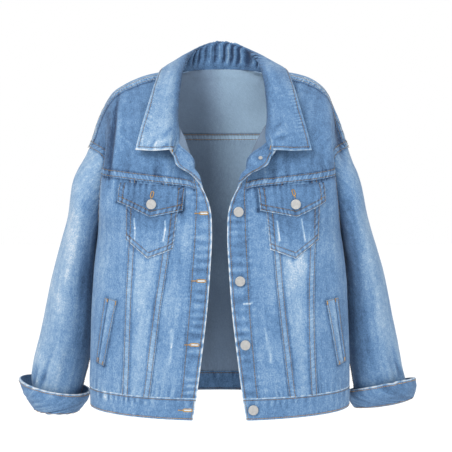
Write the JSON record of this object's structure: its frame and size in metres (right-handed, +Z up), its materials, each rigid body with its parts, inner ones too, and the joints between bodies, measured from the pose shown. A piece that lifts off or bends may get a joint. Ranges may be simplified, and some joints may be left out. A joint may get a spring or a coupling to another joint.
{
  "type": "denim jacket",
  "caption": "Short denim jacket worn open, with a turned-down collar, chest flap pockets, side welt pockets, turned-up cuffs and a waistband.",
  "frame": {"origin": "the middle of the neck opening, at the height where the collar meets the shoulders, where the wearer or a hanger holds the jacket", "axes": "+Z up, +X towards the wearer's left, which is the right of the picture, and +Y from the chest to the back"},
  "size_m": [0.6865, 0.2278, 0.6491],
  "materials": {
    "denim": "washed twill, worn pale at the seams",
    "denim_faded": "faded washed twill",
    "thread": "tan topstitching thread",
    "button_metal": "dull silver"
  },
  "bodies": {
    "root": {"waistband": "denim", "collar": "denim", "back_centre": "denim", "back_yoke": "denim", "placket_left": "denim", "placket_right": "denim", "front_inner_left": "denim", "front_inner_right": "denim", "front_middle_left": "denim_faded", "front_middle_right": "denim_faded", "front_side_left": "denim", "front_side_right": "denim", "front_yoke_left": "denim", "front_yoke_right": "denim", "back_side_left": "denim", "back_side_right": "denim", "sleeve_left": "denim", "sleeve_right": "denim", "cuff_left": "denim", "cuff_right": "denim", "flap_left": "denim", "flap_right": "denim", "pocket_left": "denim", "pocket_right": "denim", "welt_left": "denim", "welt_right": "denim", "button_flap_left": "button_metal", "button_flap_right": "button_metal", "button_chest": "button_metal", "button_ribs": "button_metal", "button_waist": "button_metal", "button_band": "button_metal", "neck_tack": "button_metal"}
  },
  "joints": []
}
